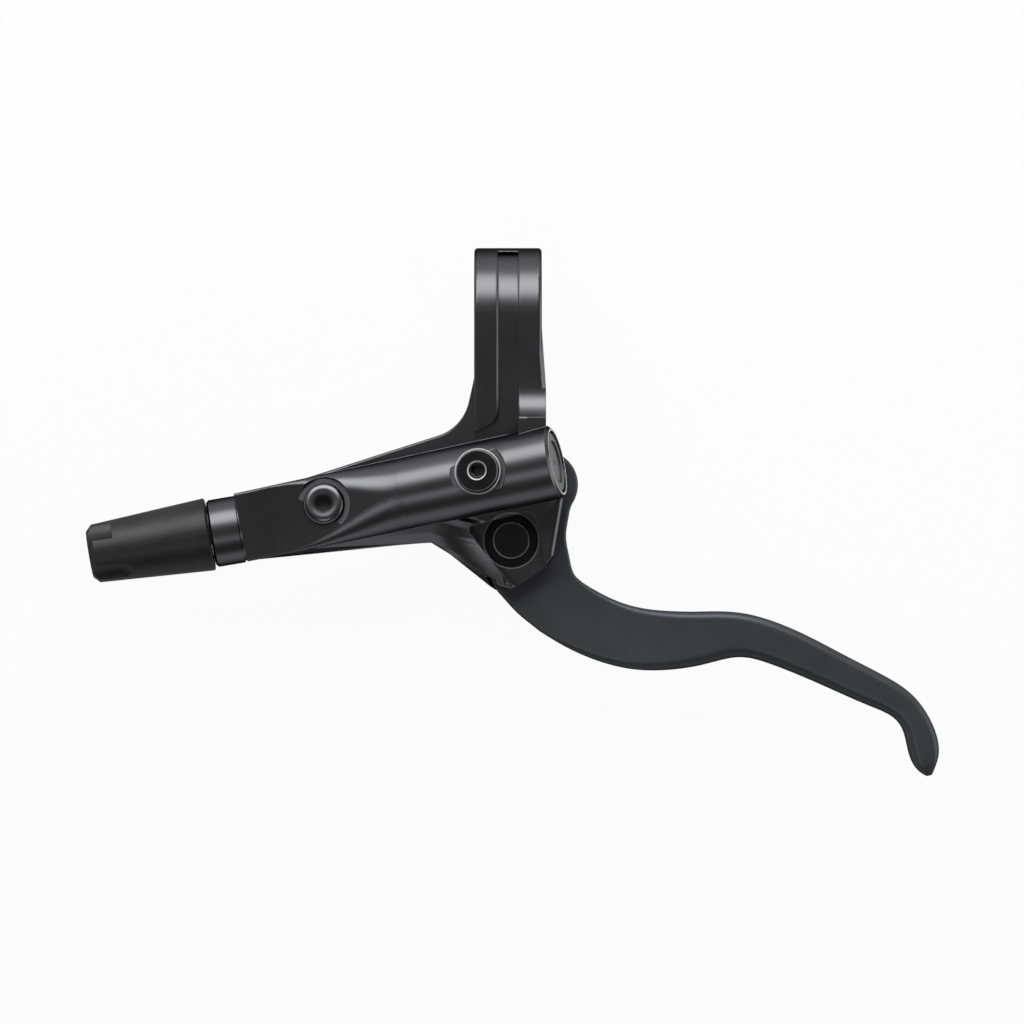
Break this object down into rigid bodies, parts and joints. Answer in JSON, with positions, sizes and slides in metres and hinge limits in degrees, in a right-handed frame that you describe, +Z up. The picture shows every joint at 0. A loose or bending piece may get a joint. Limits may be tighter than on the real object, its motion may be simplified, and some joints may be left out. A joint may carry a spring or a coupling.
{
  "type": "hydraulic bicycle brake lever",
  "caption": "Left-hand hydraulic bicycle brake lever: a clamped master cylinder casting with a reservoir barrel, hose boot and curved finger blade that pushes the piston.",
  "frame": {"origin": "centre of the handlebar in the middle of the clamp", "axes": "+X along the bar from the hose side to the lever's tip, +Y to the rider, +Z up out of the casting's top"},
  "size_m": [0.1875, 0.1161, 0.039],
  "materials": {
    "body_paint": "black gloss paint over a casting",
    "lever_black": "satin black, fine texture",
    "boot_rubber": "matt black rubber",
    "seal_rubber": "smooth black rubber",
    "black_steel": "black oxide",
    "bright_steel": "plated",
    "bare_aluminium": "turned",
    "brass": "turned",
    "plug_plastic": "smooth black dome",
    "cap_plastic": "dark grey moulding",
    "bush_plastic": "black bearing plastic"
  },
  "bodies": {
    "body": {"master_cylinder_body": "body_paint", "clamp_bolt": "black_steel", "clamp_washer": "black_steel", "bleed_screw": "black_steel", "bleed_o_ring": "seal_rubber", "port_plug": "plug_plastic", "reservoir_cap": "cap_plastic", "reservoir_diaphragm": "seal_rubber", "upper_bush": "bush_plastic", "lower_bush": "bush_plastic", "hose_nut": "bare_aluminium", "olive": "brass", "hose_insert": "brass", "hose_boot": "boot_rubber", "return_spring": "bright_steel", "stop_washer": "bright_steel", "snap_ring": "bright_steel"},
    "lever": {"lever_blade": "lever_black", "pivot_axle": "black_steel", "axle_clip": "bright_steel", "thrust_washers": "bush_plastic"},
    "trunnion": {"trunnion": "bright_steel"},
    "pushrod": {"pushrod": "bright_steel"},
    "piston": {"piston": "bare_aluminium", "primary_cup": "seal_rubber", "secondary_cup": "seal_rubber"}
  },
  "joints": [
    {"name": "lever_pivot", "type": "hinge", "parent": "body", "child": "lever", "pos_m": [0.0007, -0.0498, 0], "axis": [0, 0, 1], "range_deg": [0, 30], "stiffness_Nm_per_rad": 0.25, "springref_deg": -22.92},
    {"name": "piston_slide", "type": "slide", "parent": "body", "child": "piston", "axis": [-0.986, -0.1668, 0], "range_m": [0, 0.0067], "deforming": ["return_spring"]},
    {"name": "pushrod_swing", "type": "hinge", "parent": "lever", "child": "trunnion", "pos_m": [0.00787, -0.03758, 0], "axis": [0, 0, 1], "range_deg": [-22.5, 0]},
    {"name": "reach_adjust", "type": "hinge", "parent": "trunnion", "child": "pushrod", "pos_m": [0.00787, -0.03758, 0], "axis": [0.9947, 0.1028, 0], "continuous": true}
  ],
  "couplings": [
    {"joint": "piston_slide", "follows": "lever_pivot", "m_per_rad": 0.012691},
    {"joint": "pushrod_swing", "follows": "lever_pivot", "ratio": -0.73333}
  ]
}
